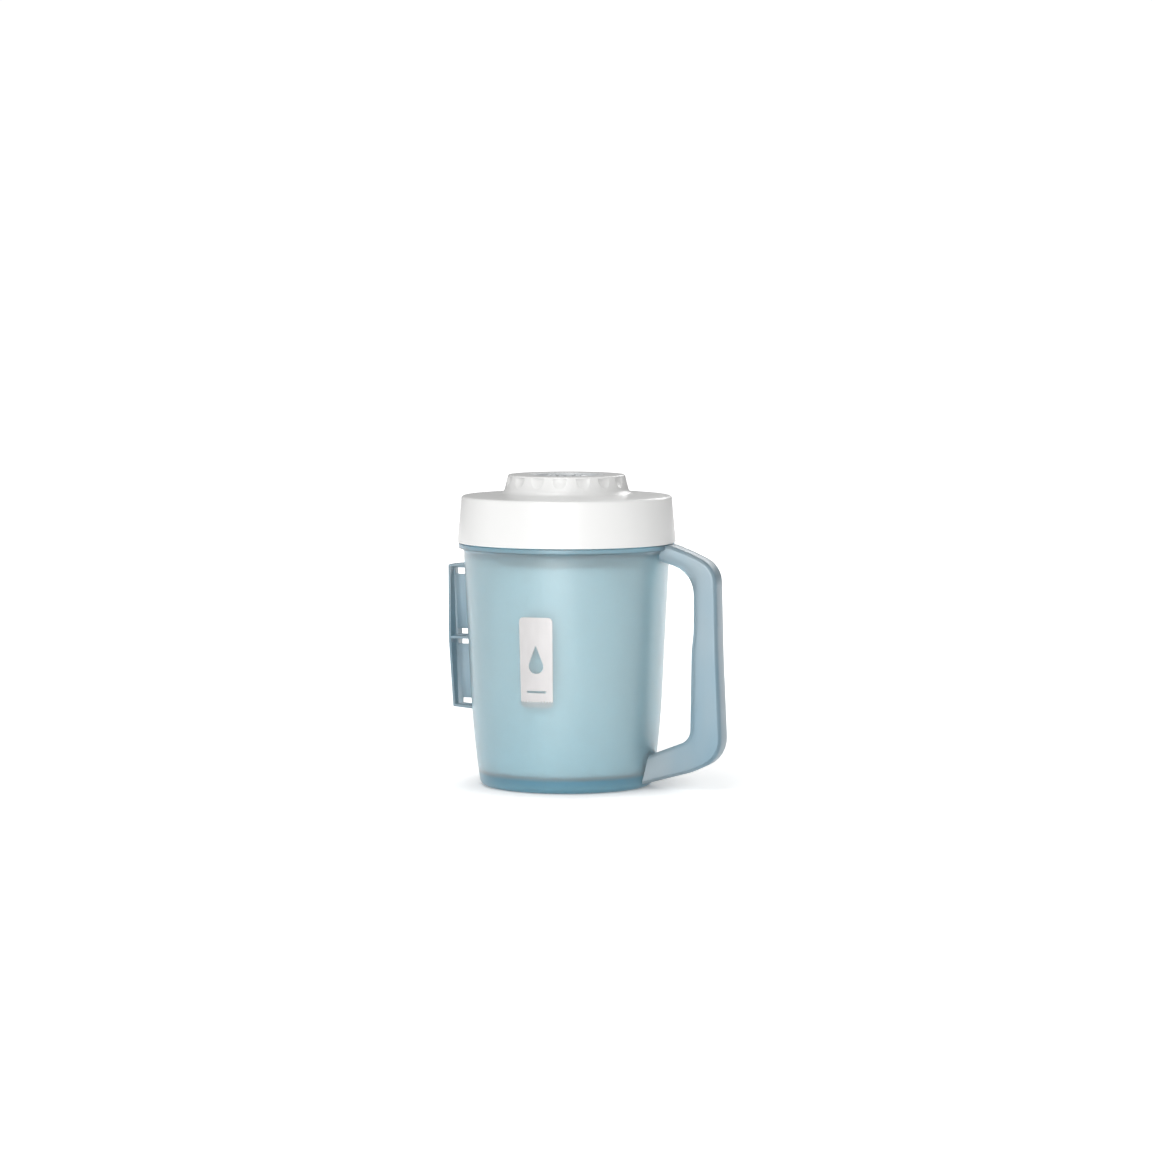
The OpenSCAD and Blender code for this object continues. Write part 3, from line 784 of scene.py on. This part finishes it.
class DISPENSER_OT_lid(bpy.types.Operator):
    """Adds the white lid with its scalloped hub and lugs, and the gasket under it"""

    bl_idname = "dispenser.lid"
    bl_label = "Lid"

    def scallop(self):
        """A cutter for one scallop: a round-ended flute along the hub's drafted side."""
        radius, depth, foot, rise = 26.0, 1.8, HUB_Z - 14, 9.5
        only()
        bpy.ops.mesh.primitive_uv_sphere_add(radius=radius * MM, segments=96, ring_count=48)
        cutter = bpy.context.object
        bpy.ops.object.mode_set(mode="EDIT")
        bpy.ops.mesh.select_all(action="SELECT")
        bpy.ops.mesh.bisect(plane_co=(0, 0, 0), plane_no=(0, 0, 1), clear_outer=True)
        bpy.ops.mesh.edge_face_add()
        bpy.ops.mesh.extrude_region_move(TRANSFORM_OT_translate={"value": (0, 0, 40 * MM)})
        close_up()
        out, up = cos(HUB_DRAFT), sin(HUB_DRAFT)
        cutter.location = Vector((hub_side_r(foot) - depth * out + radius * out - rise * up, 0,
                                  foot + radius * up + rise * out)) * MM
        cutter.rotation_euler = (0, -HUB_DRAFT, 0)
        only(cutter)
        bpy.ops.object.transform_apply(location=True, rotation=True, scale=True)
        band, low, high, sweep = 3, foot - 1, HUB_Z - depth, 21.5
        share = turned("scallop_share", [
            (hub_side_r(low) - band, low), (hub_side_r(low) + band, low),
            (hub_side_r(high) + band, high), (hub_side_r(high) - band, high)],
            start=-sweep / 2, sweep=sweep, steps=10)
        return combine(cutter, share, "INTERSECT")

    def execute(self, context):
        side, scallops = hub_side_r(329.2), 16
        lid = turned("lid_white", rounded([
            (123, 274, 0.7), (118.2, 326.2, 3.2), (97, 328.1, 200), (side, 329.2, 7),
            (hub_side_r(HUB_Z), HUB_Z, 1.4), (42.4, HUB_Z, 0.4), (42.4, 347.3, 0),
            (38.42, 347.3, 0), (38.42, 331, 0), (40.82, 331, 0.5), (40.82, 344.9, 1),
            (45.4, 344.9, 1), (45.4, 347.6, 1), (61.6, 347.6, 2), (side - 4, 326.6, 6),
            (97, 325.7, 200), (107.4, 324.6, 1), (107.4, 312, 0.5), (109.6, 312, 0.5),
            (109.6, 324.4, 0), (115.8, 323.9, 2), (120.6, 274, 0.4)]))
        combine(lid, round_the_axis(self.scallop(), scallops, 180 / scallops), "DIFFERENCE")
        lug = turned("lid_lug", [(114, 288.5), (120, 288.5), (119.6, 295), (114, 295)],
                     start=-LUG_SWEEP / 2, sweep=LUG_SWEEP, steps=12)
        combine(lid, round_the_axis(lug, LUGS, 40))
        soften(lid, context.scene.dispenser_sizes.scallop_edge / MM, angle=17)
        dress(lid, "lid", "lid_plastic", glossy_polypropylene(), "lid_shell")
        gasket = turned("lid_gasket_ring", rounded([
            (109.9, 319.3, 1), (111.6, 319.3, 0.2), (112.2, 319.9, 0.3), (112.8, 319.3, 0.2),
            (114.6, 319.3, 1), (114.6, 323.6, 1), (109.9, 323.6, 1)]))
        dress(gasket, "lid_seal", "seal_rubber", seal_rubber(), "lid_gasket")
        return {"FINISHED"}


class DISPENSER_OT_nozzle(bpy.types.Operator):
    """Adds the turning nozzle: its housing, crown of fingers, tear ring and snap ring"""

    bl_idname = "dispenser.nozzle"
    bl_label = "Nozzle"

    def execute(self, context):
        housing = turned("nozzle_housing_ring", rounded([
            (42, 349.7, 0.6), (42, 347.6, 0.2), (38.35, 347.6, 0.2), (38.35, 331, 0.2),
            (37, 331, 0), (37, 328.9, 0), (37.6, 328.9, 0.2), (37.6, 327.5, 0.5),
            (35.5, 327.5, 0.4), (35.5, 335.6, 1), (11.8, 335.6, 1), (11.8, 326, 10),
            (34, 302, 0.5), (32, 302, 0.5), (9.6, 327, 12), (9.6, CUP_Z, 0.8), (15.1, CUP_Z, 0),
            (15.1, 340.2, 0.3), (16.6, 340.2, 0.5), (16.6, CUP_Z, 0.4), (35.5, CUP_Z, 0),
            (35.5, 349.7, 0.8)]), steps=160)
        dress(housing, "nozzle", "nozzle_plastic", pale_acetal(), "nozzle_housing")
        crown = turned("finger_crown_ring", rounded([
            (28.5, 338.05, 0), (35.3, 338.05, 0), (35.3, 340.8, 1.5), (20.5, 349.9, 0.9),
            (19.5, 347.8, 0.8), (28.5, 341, 2)]), steps=168)
        fingers = 14
        slots = round_the_axis(block("finger_slot", (10, -1.6, 340.6), (32, 1.6, 360)), fingers)
        combine(crown, slots, "DIFFERENCE")
        soften(crown, 0.45)
        dress(crown, "nozzle", "nozzle_plastic", pale_acetal(), "finger_crown")
        only()
        bpy.ops.mesh.primitive_cylinder_add(vertices=96, radius=15 * MM, depth=2 * MM,
                                            location=(0, 0, 339.05 * MM))
        ring = bpy.context.object
        ring.name = ring.data.name = "tear_ring_toothed"
        bpy.ops.object.transform_apply(location=True, rotation=True, scale=True)
        teeth, star = 8, []
        for i in range(2 * teeth):
            r, a = (5.2, 9.0)[i % 2], i * pi / teeth
            star.append((r * cos(a), r * sin(a), CUP_Z - 3))
        combine(ring, slab("tooth_cutter", star, (0, 0, 10)), "DIFFERENCE")
        soften(ring, 0.25)
        dress(ring, "nozzle", "tear_ring_elastomer", tear_elastomer(), "tear_ring")
        snap = turned("nozzle_snap_ring", rounded([
            (37.05, 329, 0.2), (42, 329, 0.5), (42, 330.7, 0.5), (37.05, 330.7, 0.2)]), steps=96)
        dress(snap, "nozzle", "nozzle_plastic", pale_acetal(), "nozzle_retainer")
        return {"FINISHED"}


class DISPENSER_OT_label(bpy.types.Operator):
    """Adds the printed label, a plain silver panel with a drop left open in it"""

    bl_idname = "dispenser.label"
    bl_label = "Printed label"

    def execute(self, context):
        sizes = context.scene.dispenser_sizes
        ink, gap, belly = 0.06, 0.04, 8.5
        half, tall = sizes.label_width / 2 / MM, sizes.label_height / 2 / MM
        panel = slab("front_label", [(p.x, 0, p.y) for p in rounded([
            (-half, -tall, 5), (half, -tall, 5), (half, tall, 5), (-half, tall, 5)])], (0, ink, 0))
        drop = [(0, 15)] + [(belly * sin(t), -8 - belly * cos(t)) for t in
                            (radians(a) for a in range(118, -119, -8))]
        shape = [(x, -1, z + 4) for x, z in drop]
        combine(panel, slab("drop_cutter", shape, (0, 2, 0)), "DIFFERENCE")
        band = [(x, -1, z) for x, z in ((-11, -34), (11, -34), (11, -31.5), (-11, -31.5))]
        combine(panel, slab("band_cutter", band, (0, 2, 0)), "DIFFERENCE")
        only(panel)
        bpy.ops.object.mode_set(mode="EDIT")
        bpy.ops.mesh.select_all(action="SELECT")
        bpy.ops.mesh.quads_convert_to_tris(quad_method="BEAUTY", ngon_method="BEAUTY")
        # It is cut into narrow strips both ways, so that it can follow the wall's curve.
        for x in range(-24, 25, 3):
            bpy.ops.mesh.select_all(action="SELECT")
            bpy.ops.mesh.bisect(plane_co=(x * MM, 0, 0), plane_no=(1, 0, 0))
        for z in range(-60, 61, 5):
            bpy.ops.mesh.select_all(action="SELECT")
            bpy.ops.mesh.bisect(plane_co=(0, 0, z * MM), plane_no=(0, 0, 1))
        close_up()
        middle = sizes.label_middle / MM
        for vertex in panel.data.vertices:
            z = vertex.co.z / MM + middle
            r = wall_r(z) + gap + vertex.co.y / MM
            a = vertex.co.x / MM / wall_r(middle)
            vertex.co = Vector((r * sin(a), -r * cos(a), z)) * MM
        only(panel)
        bpy.ops.object.mode_set(mode="EDIT")
        close_up()
        dress(panel, "root", "bucket_plastic", silver_print())
        return {"FINISHED"}


class DISPENSER_OT_stage(bpy.types.Operator):
    """Adds the camera, the pale floor and the soft studio light"""

    bl_idname = "dispenser.stage"
    bl_label = "Studio"

    def lamp(self, name, place, aim, size, power):
        """A soft rectangular light that faces a point, with its size in metres and its watts."""
        bpy.ops.object.light_add(type="AREA", location=place)
        lamp = bpy.context.object
        lamp.name = name
        lamp.rotation_euler = (Vector(aim) - Vector(place)).to_track_quat("-Z", "Y").to_euler()
        lamp.data.shape = "RECTANGLE"
        lamp.data.size, lamp.data.size_y = size
        lamp.data.energy = power

    def execute(self, context):
        scene = context.scene
        only()
        azimuth, away, eye_z = radians(18), 4.6, 0.59
        aside, aim_z = 0.0105, 0.2353               # the point in the middle of the view
        place = Vector((away * sin(azimuth), -away * cos(azimuth), eye_z))
        aim = Vector((aside * cos(azimuth), aside * sin(azimuth), aim_z))
        bpy.ops.object.camera_add(location=place)
        camera = context.object
        camera.rotation_euler = (aim - place).to_track_quat("-Z", "Y").to_euler()
        camera.data.lens = 128
        camera.data.sensor_width = 36
        scene.camera = camera
        clear = 0.0003                              # between the floor and the bucket's foot
        bpy.ops.mesh.primitive_circle_add(
            vertices=96, radius=9, fill_type="NGON", location=(0, 0, -clear))
        floor = context.object
        floor.name = floor.data.name = "studio_floor"
        bpy.ops.object.transform_apply(location=True, rotation=True, scale=True)
        floor.data.materials.append(studio_white())
        middle = (0, 0, 0.18)                       # of the bucket
        self.lamp("front_softbox", (0.6, -4.95, 1.3), middle, (2.8, 3.4), 176)
        self.lamp("top_softbox", (-0.5, -0.9, 3.0), middle, (1.8, 1.8), 36)
        self.lamp("back_softbox", (0.6, 2.6, 1.6), middle, (2.4, 1.0), 26)
        world = scene.world or bpy.data.worlds.new("studio")
        scene.world = world
        world.use_nodes = True
        tree = world.node_tree
        tree.nodes.clear()
        # The camera sees plain white; the dimmer surround is what lights the object.
        seen = add(tree, "ShaderNodeLightPath").outputs["Is Camera Ray"]
        lit = add(tree, "ShaderNodeBackground", {
            "Color": (1, 1, 1, 1), "Strength": scene.dispenser_finish.sky})
        white = add(tree, "ShaderNodeBackground", {"Color": (1, 1, 1, 1), "Strength": 1.05})
        both = add(tree, "ShaderNodeMixShader", {"Fac": seen})
        tree.links.new(lit.outputs[0], both.inputs[1])
        tree.links.new(white.outputs[0], both.inputs[2])
        add(tree, "ShaderNodeOutputWorld", {"Surface": both.outputs[0]})
        scene.view_settings.view_transform = "Standard"
        return {"FINISHED"}


class DISPENSER_PT_panel(bpy.types.Panel):
    """The sidebar panel that lists the sizes, the colours and the pieces"""

    bl_idname = "DISPENSER_PT_panel"
    bl_label = "Wipe dispenser"
    bl_space_type = "VIEW_3D"
    bl_region_type = "UI"
    bl_category = "Dispenser"

    def draw(self, context):
        for group in (context.scene.dispenser_sizes, context.scene.dispenser_finish):
            box = self.layout.box()
            for name in group.__annotations__:
                box.prop(group, name)
        for operator in OPERATORS:
            self.layout.operator(operator.bl_idname)


OPERATORS = (DISPENSER_OT_bucket, DISPENSER_OT_rail, DISPENSER_OT_handle, DISPENSER_OT_roll,
             DISPENSER_OT_lid, DISPENSER_OT_nozzle, DISPENSER_OT_label, DISPENSER_OT_stage)
CLASSES = (DispenserSizes, DispenserFinish, *OPERATORS, DISPENSER_PT_panel)


def register():
    for item in CLASSES:
        bpy.utils.register_class(item)
    bpy.types.Scene.dispenser_sizes = bpy.props.PointerProperty(type=DispenserSizes)
    bpy.types.Scene.dispenser_finish = bpy.props.PointerProperty(type=DispenserFinish)


def unregister():
    del bpy.types.Scene.dispenser_finish
    del bpy.types.Scene.dispenser_sizes
    for item in reversed(CLASSES):
        bpy.utils.unregister_class(item)


def main():
    register()
    for name in ("bucket", "rail", "handle", "roll", "lid", "nozzle", "label", "stage"):
        getattr(bpy.ops.dispenser, name)()


if __name__ == "__main__":
    main()
